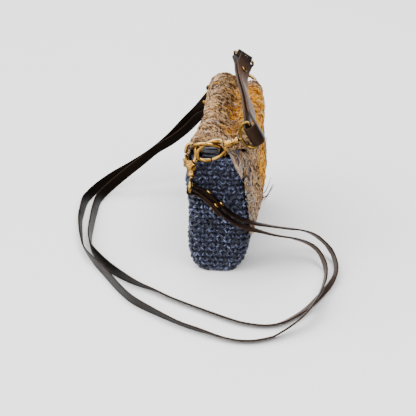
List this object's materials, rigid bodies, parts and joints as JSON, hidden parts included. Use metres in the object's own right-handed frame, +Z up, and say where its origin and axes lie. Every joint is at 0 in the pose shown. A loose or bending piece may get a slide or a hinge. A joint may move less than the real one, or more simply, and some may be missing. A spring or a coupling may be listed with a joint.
{
  "type": "crossbody bag",
  "caption": "Upright crochet crossbody bag with a fuzzy flap, brass rings and clasps, a double leather strap and a short folded leather handle.",
  "frame": {"origin": "middle of the pouch's flat base, on the surface that it stands on", "axes": "+X along the bag's width, -Y out of its front, +Z up"},
  "size_m": [0.4184, 0.2975, 0.1962],
  "materials": {
    "navy_crochet": "chunky crochet in dark navy tweed yarn",
    "taupe_crochet": "brushed fuzzy yarn in taupe with gold and navy accents",
    "black_leather": "glossy",
    "brown_leather": "grained, half gloss, with raw edges",
    "brass": "polished old gold"
  },
  "bodies": {
    "bag": {"pouch": "navy_crochet", "flap": "taupe_crochet", "near_tab": "black_leather", "far_tab": "black_leather", "strip_one": "brown_leather", "strip_two": "brown_leather", "handle": "brown_leather", "near_ring": "brass", "far_ring": "brass", "handle_rivet_1": "brass", "handle_rivet_2": "brass", "strap_rivet_1": "brass", "strap_rivet_2": "brass", "strap_rivet_3": "brass", "strap_rivet_4": "brass", "strap_rivet_5": "brass", "near_handle_hook": "brass", "near_handle_eye": "brass", "near_strap_hook": "brass", "near_strap_eye": "brass", "far_handle_hook": "brass", "far_handle_eye": "brass", "far_strap_hook": "brass", "far_strap_eye": "brass"},
    "near_handle_gate": {"near_handle_gate": "brass"},
    "near_strap_gate": {"near_strap_gate": "brass"},
    "far_handle_gate": {"far_handle_gate": "brass"},
    "far_strap_gate": {"far_strap_gate": "brass"}
  },
  "joints": [
    {"name": "near_handle_gate_hinge", "type": "hinge", "parent": "bag", "child": "near_handle_gate", "pos_m": [-0.12119, -0.0089, 0.13627], "axis": [0.9986, 0.0474, -0.0214], "range_deg": [0, 20], "stiffness_Nm_per_rad": 0.005, "springref_deg": -5.73},
    {"name": "near_strap_gate_hinge", "type": "hinge", "parent": "bag", "child": "near_strap_gate", "pos_m": [-0.11965, 0.02804, 0.12025], "axis": [0.9656, -0.0108, -0.2597], "range_deg": [0, 20], "stiffness_Nm_per_rad": 0.005, "springref_deg": -5.73},
    {"name": "far_handle_gate_hinge", "type": "hinge", "parent": "bag", "child": "far_handle_gate", "pos_m": [0.12311, -0.00487, 0.14164], "axis": [0.0657, -0.9943, -0.0845], "range_deg": [0, 20], "stiffness_Nm_per_rad": 0.005, "springref_deg": -5.73},
    {"name": "far_strap_gate_hinge", "type": "hinge", "parent": "bag", "child": "far_strap_gate", "pos_m": [0.1295, 0.0123, 0.12594], "axis": [-0.743, 0.1078, -0.6605], "range_deg": [0, 20], "stiffness_Nm_per_rad": 0.005, "springref_deg": -5.73}
  ]
}
